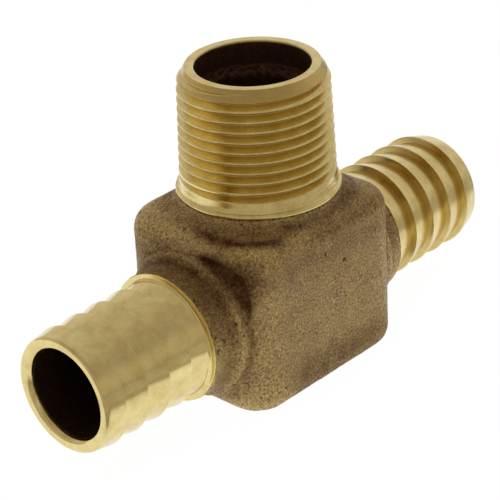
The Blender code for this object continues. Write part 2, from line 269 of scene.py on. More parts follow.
# Shader groups that more than one finish uses
def mottleGroup():
    names = ("Size", "Detail", "Low", "High")
    tree, given, out, _ = newTree("mottle", "ShaderNodeTree", dict.fromkeys(names, "NodeSocketFloat"),
                                  {"Mask": "NodeSocketFloat"})
    where = put(tree, "ShaderNodeTexCoord").outputs["Object"]
    scale = calc(tree, "DIVIDE", 1.0, given["Size"])
    clouds = put(tree, "ShaderNodeTexNoise",
                 {"Vector": where, "Scale": scale, "Detail": given["Detail"], "Roughness": 0.62})
    mask = put(tree, "ShaderNodeMapRange",
               {"Value": clouds.outputs[0], "From Min": given["Low"], "From Max": given["High"]})
    tree.links.new(mask.outputs[0], out["Mask"])
    return tree


def speckGroup():
    names = ("Spacing", "Width", "Share")
    tree, given, out, _ = newTree("specks", "ShaderNodeTree", dict.fromkeys(names, "NodeSocketFloat"),
                                  {"Mask": "NodeSocketFloat"})
    where = put(tree, "ShaderNodeTexCoord").outputs["Object"]
    scale = calc(tree, "DIVIDE", 1.0, given["Spacing"])
    cells = put(tree, "ShaderNodeTexVoronoi", {"Vector": where, "Scale": scale})
    coreShare = 0.45
    core = calc(tree, "MULTIPLY", given["Width"], coreShare)
    near = put(tree, "ShaderNodeMapRange",
               {"Value": cells.outputs["Distance"], "From Min": given["Width"], "From Max": core})
    chance = put(tree, "ShaderNodeSeparateColor", {0: cells.outputs["Color"]}).outputs[0]
    chosen = calc(tree, "LESS_THAN", chance, given["Share"])
    tree.links.new(calc(tree, "MULTIPLY", near.outputs[0], chosen), out["Mask"])
    return tree


groups = {"mottle": mottleGroup(), "specks": speckGroup()}


def placeGroup(tree, name, values):
    # values in the order of the group's inputs
    node = tree.nodes.new("ShaderNodeGroup")
    node.node_tree = groups[name]
    for socket, value in zip(node.inputs, values, strict=True):
        socket.default_value = value
    return node.outputs[0]


def painted(tree, name):
    return put(tree, "ShaderNodeAttribute", attribute_name=name).outputs["Fac"]


def spread(tree, value, ends):
    # a value from none to one, laid out between two ends
    return put(tree, "ShaderNodeMapRange", {"Value": value, "To Min": ends[0], "To Max": ends[1]}).outputs[0]


def blend(tree, mask, first, second, how="MIX"):
    node = put(tree, "ShaderNodeMix", data_type="RGBA", blend_type=how)
    for slot, value in ((0, mask), (6, first), (7, second)):
        if isinstance(value, bpy.types.NodeSocket):
            tree.links.new(value, node.inputs[slot])
        else:
            node.inputs[slot].default_value = value if slot == 0 else (*value, 1.0)
    return node.outputs[2]


def dimmed(tree, colour, level):
    grey = put(tree, "ShaderNodeCombineColor", {0: level, 1: level, 2: level}).outputs[0]
    return blend(tree, 1.0, colour, grey, "MULTIPLY")


def addBump(tree, shader, height, strength, distance, below=None):
    bump = put(tree, "ShaderNodeBump", {"Strength": strength, "Distance": distance, "Height": height})
    if below:
        tree.links.new(below, bump.inputs["Normal"])
    tree.links.new(bump.outputs[0], shader.inputs["Normal"])
    return bump.outputs[0]


def newFinish(name):
    material = bpy.data.materials.new(name)
    material.use_nodes = True
    tree = material.node_tree
    return material, tree, tree.nodes["Principled BSDF"]


# In the finishes a mottle is its size, detail, low end and high end, and specks are their spacing, width and share

# Sand-cast skin: purple-brown to olive patches, sandy grain, painted shade with grime in the hollows, and edges
# lightened by wear and a painted highlight
castFinish = dict(
    warm=(0.357, 0.226, 0.098), olive=(0.400, 0.284, 0.107), wornAndHighlit=(0.60, 0.44, 0.165),
    grimeAndShade=(0.085, 0.026, 0.006), pit=(0.02, 0.010, 0.004), metallic=0.85, roughness=(0.60, 0.40),
    grimeRoughness=0.25, patches=(0.0024, 5.0, 0.36, 0.64), grain=(0.00040, 3.0, 0.30, 0.70),
    pits=(0.0021, 0.11, 0.16), patchyGrimeAndShade=(1.12, 0.78), grainShade=(0.42, 1.65), pitShade=0.8, pitRelief=1.6,
    bumpStrength=0.8, bumpDistance=0.00016)


def castMaterial(f):
    material, tree, shader = newFinish("castBronze")
    patches = placeGroup(tree, "mottle", f["patches"])
    grain = placeGroup(tree, "mottle", f["grain"])
    pits = placeGroup(tree, "specks", f["pits"])
    colour = blend(tree, patches, f["warm"], f["olive"])
    # the convex edges are lighter: wear, partly a painted highlight
    colour = blend(tree, painted(tree, "edge"), colour, f["wornAndHighlit"])
    # painted shade with grime: the recess mask darkens hollows and placed marks towards a near-black brown
    recess = calc(tree, "MULTIPLY", painted(tree, "recess"), spread(tree, patches, f["patchyGrimeAndShade"]))
    recess = calc(tree, "MINIMUM", recess, 1.0)
    colour = blend(tree, recess, colour, f["grimeAndShade"])
    colour = dimmed(tree, colour, spread(tree, grain, f["grainShade"]))
    dark = calc(tree, "MAXIMUM", painted(tree, "pit"), calc(tree, "MULTIPLY", pits, f["pitShade"]))
    colour = blend(tree, dark, colour, f["pit"])
    tree.links.new(colour, shader.inputs["Base Color"])
    rough = spread(tree, grain, f["roughness"])
    rough = calc(tree, "ADD", rough, calc(tree, "MULTIPLY", recess, f["grimeRoughness"]))
    tree.links.new(rough, shader.inputs["Roughness"])
    shader.inputs["Metallic"].default_value = f["metallic"]
    relief = calc(tree, "SUBTRACT", grain, calc(tree, "MULTIPLY", pits, f["pitRelief"]))
    addBump(tree, shader, relief, f["bumpStrength"], f["bumpDistance"])
    return material


# Turned brass: fine rings across the piece's own axis, and painted shade over raw dark metal down the bore
brassFinish = dict(
    bright=(0.83, 0.685, 0.300), dull=(0.67, 0.520, 0.195), nick=(0.16, 0.10, 0.035),
    tarnishAndShade=(0.54, 0.38, 0.115), rawAndShaded=(0.066, 0.036, 0.019), rust=(0.16, 0.07, 0.03),
    roughness={"left": 0.14, "right": 0.21, "nipple": 0.20}, ringRoughness=(-0.05, 0.09), boreRoughness=0.45,
    speckle={"left": 0.06, "right": 0.06, "nipple": 0.09}, ringSize=0.00016, ringLength=1 / 6,
    cloud=(0.0030, 5.0, 0.34, 0.66), wave=(0.0045, 1.0, 0.25, 0.75), sand=(0.0007, 3.0, 0.35, 0.65),
    grain=(0.00030, 2.0, 0.30, 0.70), nicks=(0.0034, 0.050, 0.20), tarnishAndShadeShare=0.8, rustShare=0.7,
    nickRelief=0.7, sandRelief=6.0, ringBump=0.16, waveBump=0.5, bumpDistance=0.00004)


def brassMaterial(f, piece, axis):
    material, tree, shader = newFinish(piece + "Brass")
    where = put(tree, "ShaderNodeTexCoord").outputs["Object"]
    fine = tuple(1 / f["ringSize"] if name == axis else 1 / f["ringLength"] for name in "XYZ")
    turned = put(tree, "ShaderNodeMapping", {"Vector": where, "Scale": fine}).outputs[0]
    rings = put(tree, "ShaderNodeTexNoise", {"Vector": turned, "Scale": 1.0, "Detail": 3.0}).outputs[0]
    cloud, wave, sand, grain = (placeGroup(tree, "mottle", f[name]) for name in ("cloud", "wave", "sand", "grain"))
    nicks = placeGroup(tree, "specks", f["nicks"])
    bore = painted(tree, "bore")
    colour = blend(tree, cloud, f["dull"], f["bright"])
    # painted shade with tarnish in the thread's groove and behind the barb teeth
    colour = blend(tree, calc(tree, "MULTIPLY", painted(tree, "groove"), f["tarnishAndShadeShare"]), colour, f["tarnishAndShade"])
    colour = dimmed(tree, colour, spread(tree, grain, (1 - f["speckle"][piece], 1 + f["speckle"][piece])))
    colour = blend(tree, nicks, colour, f["nick"])
    rusty = calc(tree, "MULTIPLY", calc(tree, "MULTIPLY", sand, cloud), f["rustShare"])
    # painted shade over raw metal, with rusty patches, down the bore
    colour = blend(tree, bore, colour, blend(tree, rusty, f["rawAndShaded"], f["rust"]))
    tree.links.new(colour, shader.inputs["Base Color"])
    rough = spread(tree, rings, [f["roughness"][piece] + change for change in f["ringRoughness"]])
    rough = calc(tree, "ADD", rough, calc(tree, "MULTIPLY", bore, f["boreRoughness"]))
    tree.links.new(rough, shader.inputs["Roughness"])
    shader.inputs["Metallic"].default_value = 1.0
    relief = calc(tree, "SUBTRACT", rings, calc(tree, "MULTIPLY", nicks, f["nickRelief"]))
    sandy = calc(tree, "MULTIPLY", calc(tree, "MULTIPLY", bore, sand), f["sandRelief"])
    fineBump = addBump(tree, shader, calc(tree, "ADD", relief, sandy), f["ringBump"], f["bumpDistance"])
    addBump(tree, shader, wave, f["waveBump"], f["bumpDistance"], fineBump)
    return material


fillerFinish = dict(bright=(0.70, 0.62, 0.44), dull=(0.52, 0.44, 0.28), roughness=0.34,
                    cloud=(0.0015, 3.0, 0.32, 0.70), bumpStrength=0.2, bumpDistance=0.00005)


def fillerMaterial(f):
    material, tree, shader = newFinish("fillerMetal")
    cloud = placeGroup(tree, "mottle", f["cloud"])
    tree.links.new(blend(tree, cloud, f["dull"], f["bright"]), shader.inputs["Base Color"])
    shader.inputs["Metallic"].default_value = 1.0
    shader.inputs["Roughness"].default_value = f["roughness"]
    addBump(tree, shader, cloud, f["bumpStrength"], f["bumpDistance"])
    return material


castBronze = castMaterial(castFinish)
turnedBrass = {piece: brassMaterial(brassFinish, piece, axis)
               for piece, axis in (("left", "X"), ("right", "X"), ("nipple", "Z"))}
fillerMetal = fillerMaterial(fillerFinish)
lathe = turnedTree()
print("finishes and trees made")


def pointsOf(mesh):
    spots = np.empty(len(mesh.vertices) * 3)
    mesh.vertices.foreach_get("co", spots)
    return spots.reshape(-1, 3)


def movePoints(mesh, spots):
    mesh.vertices.foreach_set("co", spots.ravel())
    mesh.update()


def setMask(mesh, name, values):
    mask = mesh.attributes.new(name, "FLOAT", "POINT")
    mask.data.foreach_set("value", np.clip(values, 0, 1).astype(np.float32))


def darkenBore(piece, sizes, top):
    # points in the bore, from a little below its open end, are painted shade over raw metal
    wallFade = 0.1
    spots = pointsOf(piece.data)
    inward = sizes["boreRadius"] + sizes["darkReach"] - np.hypot(spots[:, 0], spots[:, 1])
    below = top - sizes["darkStart"] - spots[:, 2]
    setMask(piece.data, "bore", np.minimum(inward / wallFade, below / sizes["darkFade"]))


def shadeAndTarnishSteps(piece, b, side):
    # painted shade with some tarnish: the steps behind the crests, and the roots of the tapers, are duller than the
    # rest
    slack = 0.05
    spots = pointsOf(piece.data)
    behind = np.mod(b["firstCrest"] - spots[:, 2], b["toothPitch"])
    outside = np.hypot(spots[:, 0], spots[:, 1]) > b["rootRadius"] - slack
    inTeeth = (spots[:, 2] < b["firstCrest"]) & (spots[:, 2] > b["collarFace"][side] + 2 * slack)
    fade = np.exp(-np.maximum(behind - b["toothStep"], 0) / b["shadeAndTarnishLength"]) * (behind > slack)
    setMask(piece.data, "groove", b["shadeAndTarnish"][side] * outside * inTeeth * fade)


# Hose barbs
barb = dict(
    facets=192, boreRadius=7.98, rootRadius=9.68, crestRadius=10.78, crestRound=0.16,
    crestMarks=((0.010, 0.035), (0.012, -0.005), (0.05, -0.03)),  # below the crest, and ahead of it
    # the step darkening is painted shade with some tarnish, far stronger on the right barb than the left
    toothCount=4, toothPitch=5.05, toothStep=0.36, shadeAndTarnishLength=0.9, shadeAndTarnish={"left": 0.08, "right": 0.80},
    firstCrest=44.75, mouth=48.61, mouthRadius={"left": 10.28, "right": 9.86}, mouthRound=0.62, mouthChamfer=1.1,
    collarRadius={"left": 11.60, "right": 11.30}, collarFace={"left": 25.10, "right": 24.05}, collarRound=0.10,
    collarThickness=0.20, collarFillet=0.55, collarLand=0.45, spigotRadius=9.28, spigotEnd=16.40,
    darkReach=0.3, darkStart=0.80, darkFade=0.4)


def barbSections(b, side):
    bore, crest, root, top = b["boreRadius"], b["crestRadius"], b["rootRadius"], b["firstCrest"]
    slope = (crest - root) / (b["toothPitch"] - b["toothStep"])
    begin = (crest - b["crestRound"] * slope, top + b["crestRound"])  # the crest's round starts ahead of it
    marks = [(crest - below, top + ahead) for below, ahead in b["crestMarks"]]
    step = [begin] + marks[:-1] + straight(marks[-1], (root, top - b["toothStep"]), 4)
    ease = 0.1  # first short length of the taper
    step.append((root + ease * slope, top - b["toothStep"] - ease))
    tooth = step + straight(step[-1], (begin[0], begin[1] - b["toothPitch"]), 12)[1:]

    soft = b["mouthRound"]
    nose = [(bore + b["mouthChamfer"], b["mouth"])]
    nose += arc((b["mouthRadius"][side] - soft, b["mouth"] - soft), soft, 90, 14)
    nose += straight(nose[-1], begin, 8)[1:]

    # the last tooth runs into the collar
    down = (b["toothCount"] - 1) * b["toothPitch"]
    foot = [(radius, height - down) for radius, height in step]
    face, outer, soft = b["collarFace"][side], b["collarRadius"][side], b["collarRound"]
    filletTop = face + b["collarFillet"]
    foot += straight(foot[-1], (foot[-1][0] + slope * (foot[-1][1] - filletTop), filletTop), 12)[1:]
    foot += hollow(foot[-1], (outer - b["collarLand"], face))[1:]
    foot += arc((outer - soft, face - soft), soft, 90, 0, 4)
    back = face - b["collarThickness"]
    foot += [(outer, back), (b["spigotRadius"], back), (b["spigotRadius"], b["spigotEnd"]), (bore, b["spigotEnd"])]

    # up the bore to the mouth's round inner edge, in shorter steps near the end
    soft, lastPart = b["mouthChamfer"], 2.0
    inside = b["mouth"] - soft
    foot += straight(foot[-1], (bore, inside - lastPart), 10)[1:]
    foot += straight(foot[-1], (bore, inside), 8)[1:]
    foot += arc((bore + soft, inside), soft, 180, 90, 10)[1:]
    return nose, tooth, foot


barbShape = barbTree()
barbPieces = {}
for side in ("left", "right"):
    nose, tooth, foot = barbSections(barb, side)
    piece = shaped(side + "Barb", barbShape, {
        "Nose": section("nose", nose), "Tooth": section("tooth", tooth), "Foot": section("foot", foot),
        "Tooth Count": barb["toothCount"] - 1, "Tooth Pitch": barb["toothPitch"],
        "Facets": barb["facets"], "Finish": turnedBrass[side]})
    darkenBore(piece, barb, barb["mouth"])
    shadeAndTarnishSteps(piece, barb, side)
    piece.data.transform(place @ turnTo[side])
    barbPieces[side] = piece
print("barbs made", [len(p.data.polygons) for p in barbPieces.values()])


# Threaded nipple
nipple = dict(
    facets=200, rows=350, boreRadius=9.86, boreDepth=4.6, boreChamfer=0.25, boreEdge=(0.06, 0.07), passageRadius=7.5,
    ledgeLip=(0.35, 0.4), lumpSize=1.1, lumpHeight=0.9, lumpReach=1.2, top=41.38, lipRadius=11.49, lipMargin=0.08,
    rimPart=1.2, crestRadius=12.92, chamferHeight=2.3, taper=1 / 16, pitch=25.4 / 14, flankAngle=30, crestFlat=0.18,
    rootFlat=0.12, grooveFoot=21.887, footAngle=93.0, topMargin=0.3, fadeTurns=0.35, rounding=0.08,
    threadFoot=20.98, collarRadius=14.31, collarTop=19.88, collarLift=0.02, collarRound=0.45, collarTurn=70,
    collarChamfer=0.15, seat=19.06, spigotRadius=11.46, spigotEnd=12.28, darkReach=0.2, darkStart=0.0, darkFade=0.4)


def nippleSection(n):
    bore, passage, top = n["boreRadius"], n["passageRadius"], n["top"]
    collar, soft, bevel = n["collarRadius"], n["collarRound"], n["collarChamfer"]
    footRadius = n["crestRadius"] + (top - n["threadFoot"]) * n["taper"] / 2
    points = hollow((footRadius, n["threadFoot"]), (collar - soft, n["collarTop"] + n["collarLift"]), 10)
    points += arc((collar - soft, n["collarTop"] - soft), soft, n["collarTurn"], 0, 8)
    points += [(collar, n["seat"] + bevel), (collar - bevel, n["seat"]), (n["spigotRadius"], n["seat"]),
               (n["spigotRadius"], n["spigotEnd"]), (passage, n["spigotEnd"])]

    # up the passage, over the ledge and up the counterbore, in short steps where lumps or shading need them
    ledge = top - n["boreDepth"]
    lipOut, lipDown = n["ledgeLip"]
    points += straight(points[-1], (passage, ledge - lipDown), 24)[1:]
    points += straight((passage + lipOut, ledge), (bore, ledge), 5)
    points += straight(points[-1], (bore, top - n["rimPart"]), 6)[1:]
    points += straight(points[-1], (bore, top - n["boreChamfer"]), 5)[1:]

    # round the lip
    rim, margin = bore + n["boreChamfer"], n["lipMargin"]
    points += [(bore + n["boreEdge"][0], top - n["boreEdge"][1]), (rim, top), (rim + margin, top),
               (n["lipRadius"] - margin, top), (n["lipRadius"], top)]
    return points


def nippleValues(n):
    rimRadius = n["crestRadius"] + n["chamferHeight"] * n["taper"] / 2
    flank = math.tan(math.radians(n["flankAngle"]))
    grooveHalf = (n["pitch"] - n["crestFlat"]) / 2
    return {
        "Low": n["threadFoot"], "High": n["top"], "Crest Radius": n["crestRadius"], "Lip Radius": n["lipRadius"],
        "Chamfer Slope": (rimRadius - n["lipRadius"]) / n["chamferHeight"], "Taper": n["taper"], "Pitch": n["pitch"],
        "Groove Half": grooveHalf, "Groove Depth": (grooveHalf - n["rootFlat"] / 2) / flank, "Flank": flank,
        "Groove Foot": n["grooveFoot"], "Foot Turn": n["footAngle"] / 360,
        "Last Turn": (n["top"] - n["topMargin"] - n["grooveFoot"]) / n["pitch"], "Fade Turns": n["fadeTurns"],
        "Rounding": n["rounding"], "Plain": section("plain", nippleSection(n)), "Rows": n["rows"],
        "Facets": n["facets"], "Finish": turnedBrass["nipple"]}


def roughLedge(piece, n):
    # raw casting shows as lumps where the counterbore meets the passage
    ledge = n["top"] - n["boreDepth"]
    finer, slack = 2.3, 0.1
    for vertex in piece.data.vertices:
        spot = vertex.co
        away = math.hypot(spot.x, spot.y)
        near = 1 - min(abs(spot.z - ledge) / n["lumpReach"], 1.0)
        if away < n["boreRadius"] - slack and near > 0:
            lump = noise.noise(spot / n["lumpSize"]) + 0.5 * noise.noise(spot / n["lumpSize"] * finer)
            spot.z += n["lumpHeight"] * near * lump
            spot.xy *= 1 - n["lumpHeight"] * near * max(lump, 0.0) / away


branchPiece = shaped("threadedNipple", threadTree(), nippleValues(nipple))
darkenBore(branchPiece, nipple, nipple["top"])
roughLedge(branchPiece, nipple)
branchPiece.data.transform(place)
print("nipple made", len(branchPiece.data.polygons))


# Cast body
body = dict(
    facets=128, voxel=0.30, softenRounds=7, skinNoise=(("sway", 5.0, 0.16), ("sand", 0.85, 0.11)),
    halfLength=19.0, halfWidth=15.56, foot=-14.38, top=17.45, cornerRadius=6.2, topRadius=4.2, footRadius=3.1,
    bossRadius=14.32, bossTop=19.04, flareRun=3.3, flareRound=8.0,
    runFace={"left": 24.87, "right": 23.82}, runRadius=11.66, runRidge=13.2, runFillet=2.0, ridgeHeight=0.75,
    creaseLength=16.9, creaseWidth=14.4, creasePower=4.2, creaseDepth=0.18, creaseReach=1.1, creaseRise=(14.0, 15.5),
    creaseFrom=(-8, 18), creaseTo=(44, 64),
    shoulderDrop=1.15, shoulderAlong=(8.0, 16.5), shoulderRise=(6.0, 14.0), shoulderAway=(14.4, 16.6),
    dipStart=13.45, dipHeight=14.2, dipLow=11.5, dipWidth=13.3, dipPower=7, dipDepth=0.75, dipFar=0.15, dipBelow=0.15,
    dipFade=(14.0, 17.0), dipRoom=(0.2, 1.8), dipSide=(0.10, 0.34), dipEdges=((0.0, 0.45), (0.55, 1.12)),
    socketRadius=9.58, socketFloor=16.10, branchSocketRadius=11.76, branchSocketFloor=11.98, passageRadius=7.5,
    boreRadius=7.98)


def roundedBlock(name, b, top, topRadius, footRadius):
    builder = bmesh.new()
    middle = (top + b["foot"]) / 2
    size = Matrix.Diagonal((2 * b["halfLength"], 2 * b["halfWidth"], top - b["foot"], 1.0))
    bmesh.ops.create_cube(builder, size=1.0, matrix=Matrix.Translation((0, 0, middle)) @ size)
    slack = 1e-4

    def soften(chosen, radius):
        edges = [e for e in builder.edges if chosen(e.verts[0].co.z, e.verts[1].co.z)]
        bmesh.ops.bevel(builder, geom=edges, offset=radius, segments=10, profile=0.5, affect="EDGES")

    soften(lambda a, c: abs(a - c) > 1.0, b["cornerRadius"])
    soften(lambda a, c: min(a, c) > top - slack, topRadius)
    soften(lambda a, c: max(a, c) < b["foot"] + slack, footRadius)
    mesh = bpy.data.meshes.new(name)
    builder.to_mesh(mesh)
    builder.free()
    return newObject(name, mesh)


def turnedSolid(name, points, way="up"):
    solid = shaped(name, lathe, {"Section": section(name, points), "Facets": body["facets"], "Finish": castBronze})
    solid.data.transform(turnTo[way])
    return solid


def bothWays(half):
    # a bar along the run, the same at each end
    return half + [(radius, -height) for radius, height in reversed(half)]


def combine(piece, other, operation):
    modifier = piece.modifiers.new(operation.lower(), "BOOLEAN")
    modifier.operation = operation
    modifier.solver = "EXACT"
    modifier.object = other
    settle(piece)
    bpy.data.objects.remove(other)


def castForm(b):
    piece = roundedBlock("castBody", b, b["top"], b["topRadius"], b["footRadius"])
    # branch boss: it flares out below the collar, and is flush with the block's sides
    radius, top, wide, overlap = b["bossRadius"], b["bossTop"], b["bossRadius"] + b["flareRun"], 0.1
    flare = hollow((radius, top - overlap), (wide, b["top"] - overlap), 12)
    boss = turnedSolid("boss", [(0, top), (radius, top)] + flare + [(wide, 0), (0, 0)])
    combine(boss, roundedBlock("plan", b, top + overlap, b["flareRound"], b["footRadius"]), "INTERSECT")
    combine(piece, boss, "UNION")
    combine(piece, turnedSolid("seat", [(0, top), (radius, top), (radius, 0), (0, 0)]), "UNION")
    # run bosses, a little long because their ends are faced off later
    ridge, spare, buried = b["halfLength"] + b["ridgeHeight"], 0.8, 4
    flare = hollow((b["runRadius"], ridge + b["runFillet"]), (b["runRidge"], ridge))
    end = b["runFace"]["left"] + spare
    half = [(0, end), (b["runRadius"], end)] + flare + [(b["runRidge"], b["halfLength"] - buried)]
    combine(piece, turnedSolid("runBar", bothWays(half), "right"), "UNION")
    return piece


def castSkin(piece, b):
    # one skin over all of it, with soft inside corners and the unevenness of sand
    skin = piece.modifiers.new("skin", "REMESH")
    skin.mode = "VOXEL"
    skin.voxel_size = b["voxel"]
    soften = piece.modifiers.new("soften", "SMOOTH")
    soften.factor = 0.5
    soften.iterations = b["softenRounds"]
    for name, size, strength in b["skinNoise"]:
        texture = bpy.data.textures.new(name, "CLOUDS")
        texture.noise_scale = size
        texture.noise_depth = 2
        rough = piece.modifiers.new(name, "DISPLACE")
        rough.texture = texture
        rough.texture_coords = "LOCAL"
        rough.strength = strength
        rough.mid_level = 0.5
    settle(piece)


def cutWaterways(piece, b):
    # each cut starts a little outside the body
    end, floor = b["runFace"]["left"] + 2, b["socketFloor"]
    half = [(0, end), (b["socketRadius"], end), (b["socketRadius"], floor), (b["boreRadius"], floor)]
    combine(piece, turnedSolid("runWay", bothWays(half), "right"), "DIFFERENCE")
    end, floor = b["bossTop"] + 1, b["branchSocketFloor"]
    way = [(0, end), (b["branchSocketRadius"], end), (b["branchSocketRadius"], floor),
           (b["passageRadius"], floor), (b["passageRadius"], 0), (0, 0)]
    combine(piece, turnedSolid("branchWay", way), "DIFFERENCE")


def smooth(value, low, high):
    part = np.clip((value - low) / (high - low), 0, 1)
    return part * part * (3 - 2 * part)


def squarish(x, y, power):
    # one all along a square with rounded corners, less inside it and more outside
    return (x ** power + y ** power + 1e-9) ** (1 / power)


def dipShare(spots, b, inner, outer):
    # how far each point lies into the dips between a run boss and the block's corners, from none to one
    across, rise = np.abs(spots[:, 1]), spots[:, 2]
    lower = rise < 0
    rise = np.abs(rise) * np.where(lower, b["dipHeight"] / b["dipLow"], 1.0)
    away = np.hypot(across, rise).clip(0.1)
    reach = away / squarish(rise / b["dipHeight"], across / b["dipWidth"], b["dipPower"])
    width = (reach - b["dipStart"]).clip(0.05)
    along = (away - b["dipStart"]) / width
    share = smooth(along, *inner) * (1 - smooth(along, *outer)) * smooth(np.abs(spots[:, 0]), *b["dipFade"])
    share *= smooth(width, *b["dipRoom"]) * smooth(across / away, *b["dipSide"]) * np.where(lower, b["dipBelow"], 1.0)
    return share * np.where(spots[:, 0] * spots[:, 1] > 0, 1.0, b["dipFar"])


def creaseShare(spots, b):
    # the line inside the block's top edge, round two of its corners
    along, across = np.abs(spots[:, 0]), np.abs(spots[:, 1])
    away = np.hypot(along, across).clip(0.1)
    ring = away * (1 - 1 / squarish(along / b["creaseLength"], across / b["creaseWidth"], b["creasePower"]))
    least = -30  # half a turn is counted from here, so that opposite corners are alike
    turn = np.mod(np.degrees(np.arctan2(spots[:, 1], spots[:, 0])) - least, 180) + least
    corner = smooth(turn, *b["creaseFrom"]) * (1 - smooth(turn, *b["creaseTo"]))
    return np.exp(-(ring / b["creaseReach"]) ** 2) * corner * smooth(spots[:, 2], *b["creaseRise"])


def sinkCorners(piece, b):
    spots = pointsOf(piece.data)
    spots[:, 2] -= b["creaseDepth"] * creaseShare(spots, b)
    # the top falls away at the right-hand end
    away = np.hypot(spots[:, 0], spots[:, 1])
    spots[:, 2] -= (b["shoulderDrop"] * smooth(spots[:, 0], *b["shoulderAlong"])
                    * smooth(spots[:, 2], *b["shoulderRise"]) * smooth(away, *b["shoulderAway"]))
    spots[:, 0] -= np.sign(spots[:, 0]) * b["dipDepth"] * dipShare(spots, b, *b["dipEdges"])
    movePoints(piece.data, spots)


def faceEnds(piece, b):
    # the boss faces are flat where the turned collars sit
    spots = pointsOf(piece.data)
    spots[:, 0] = np.clip(spots[:, 0], -b["runFace"]["left"], b["runFace"]["right"])
    spots[:, 2] = np.clip(spots[:, 2], b["foot"], b["bossTop"])
    movePoints(piece.data, spots)


def meshArrays(mesh):
    normals = np.empty(len(mesh.vertices) * 3)
    mesh.vertices.foreach_get("normal", normals)
    edges = np.empty(len(mesh.edges) * 2, dtype=np.int64)
    mesh.edges.foreach_get("vertices", edges)
    return pointsOf(mesh), normals.reshape(-1, 3), edges.reshape(-1, 2)


def relaxed(spots, edges, rounds):
    # every point drawn towards the middle of its neighbours
    count = len(spots)
    ends = np.concatenate([edges[:, 0], edges[:, 1]])
    others = np.concatenate([edges[:, 1], edges[:, 0]])
    share = np.bincount(ends, minlength=count)[:, None].clip(1)
    for _ in range(rounds):
        middle = np.stack([np.bincount(ends, weights=spots[others, k], minlength=count) for k in range(3)], 1)
        spots = spots * 0.5 + 0.5 * middle / share
    return spots


# Painted shade with grime darkens the inside corners, more so above, edges are lighter from wear and a painted
# highlight, and a few pits are left by the sand
shadeGrimeAndWear = dict(
    tightRounds=30, tightDepth=0.20, wideRounds=160, wideDepth=0.75, foundShare=0.6, lowShare=0.30, lowEnd=-7.0,
    highEnd=5.0, edgeDepth=0.75, edgeShare=0.9,
    pitCount=70, pitRadius=0.34, pitSpread=(0.6, 1.3), pitFlat=0.25, pitDepth=0.16, seed=11,
    shadeAndGrimeShares=dict(dips=0.85, boss=0.35, ring=0.25, crease=0.95, underCollar=0.30, brow=0.22, sill=0.24, low=0.45),
    upper=(-2.0, 7.0), dipEdges=((-0.3, 0.3), (0.50, 2.3)), bossEdge=(12.6, 13.4), bossStart=(19.2, 20.2),
    ringMiddle=20.6, ringWidth=0.7, ringRise=(3.0, 8.0), collarEdge=(15.8, 18.6), collarRise=(16.0, 17.0),
    browFoot=(7.0, 11.5), browTop=(14.0, 16.5), sillRise=(12.0, 14.5), sillFront=(8.5, 11.5), sillAlong=(-8.0, -1.0),
    lowRise=(-11.0, -4.0), lowFront=(12.0, 14.0), lowAlong=(-13.0, -7.0))


def placedShadeAndGrime(spots, b, g):
    # painted shade, with some grime, laid in the dips, on the run bosses, round the foot of the branch boss, along a
    # band below the top and on the long side's top and foot
    along, across, up = spots.T
    out = np.abs(along)
    upper = smooth(up, *g["upper"])
    boss = (1 - smooth(np.hypot(across, up), *g["bossEdge"])) * smooth(out, *g["bossStart"])
    masks = {
        "dips": dipShare(spots, b, *g["dipEdges"]) * upper,
        "boss": boss * upper,
        "ring": np.exp(-((out - g["ringMiddle"]) / g["ringWidth"]) ** 2) * boss * smooth(up, *g["ringRise"]),
        "crease": creaseShare(spots, b),
        "underCollar": (1 - smooth(np.hypot(along, across), *g["collarEdge"])) * smooth(up, *g["collarRise"]),
        "brow": smooth(up, *g["browFoot"]) * (1 - smooth(up, *g["browTop"])),
        "sill": smooth(up, *g["sillRise"]) * smooth(-across, *g["sillFront"]) * smooth(along, *g["sillAlong"]),
        "low": (1 - smooth(up, *g["lowRise"])) * smooth(-across, *g["lowFront"]) * smooth(along, *g["lowAlong"])}
    return sum(g["shadeAndGrimeShares"][name] * mask for name, mask in masks.items())


def shadeAndWeatherBody(piece, b, g):
    mesh = piece.data
    spots, normals, edges = meshArrays(mesh)
    # how deep each point lies in a hollow, seen closely and more widely
    tight, wide = (np.einsum("ij,ij->i", relaxed(spots, edges, rounds) - spots, normals)
                   for rounds in (g["tightRounds"], g["wideRounds"]))
    # painted shade with grime in the hollows, stronger towards the top
    rise = np.clip((spots[:, 2] - g["lowEnd"]) / (g["highEnd"] - g["lowEnd"]), 0, 1)
    share = g["foundShare"] * (g["lowShare"] + (1 - g["lowShare"]) * rise)
    found = share * (np.clip(tight / g["tightDepth"], 0, 1) + np.clip(wide / g["wideDepth"], 0, 1))
    setMask(mesh, "recess", np.maximum(found, placedShadeAndGrime(spots, b, g)))
    # lighter convex edges: wear, partly a painted highlight
    setMask(mesh, "edge", g["edgeShare"] * np.clip(-wide / g["edgeDepth"], 0, 1))
    draw = np.random.default_rng(g["seed"])
    pit = np.zeros(len(spots))
    for index in draw.integers(0, len(spots), g["pitCount"]):
        size = g["pitRadius"] * draw.uniform(*g["pitSpread"])
        away = np.linalg.norm(spots - spots[index], axis=1)
        pit = np.maximum(pit, np.clip(1 + g["pitFlat"] - away / size, 0, 1))
    setMask(mesh, "pit", pit)
    movePoints(mesh, spots - normals * (pit * g["pitDepth"])[:, None])


bodyPiece = castForm(body)
castSkin(bodyPiece, body)
sinkCorners(bodyPiece, body)
cutWaterways(bodyPiece, body)
faceEnds(bodyPiece, body)
shadeAndWeatherBody(bodyPiece, body, shadeGrimeAndWear)
bodyPiece.data.materials.clear()
bodyPiece.data.materials.append(castBronze)
bodyPiece.data.shade_smooth()
bodyPiece.data.transform(place)
print("body made", len(bodyPiece.data.polygons))


# Filler rings in their grooves
ring = dict(facets=96, halfWidth=0.6, thickness=0.6, edgeRound=0.2, runRadius=9.58, runMiddle=20.40,
            branchRadius=11.76, branchMiddle=15.68)


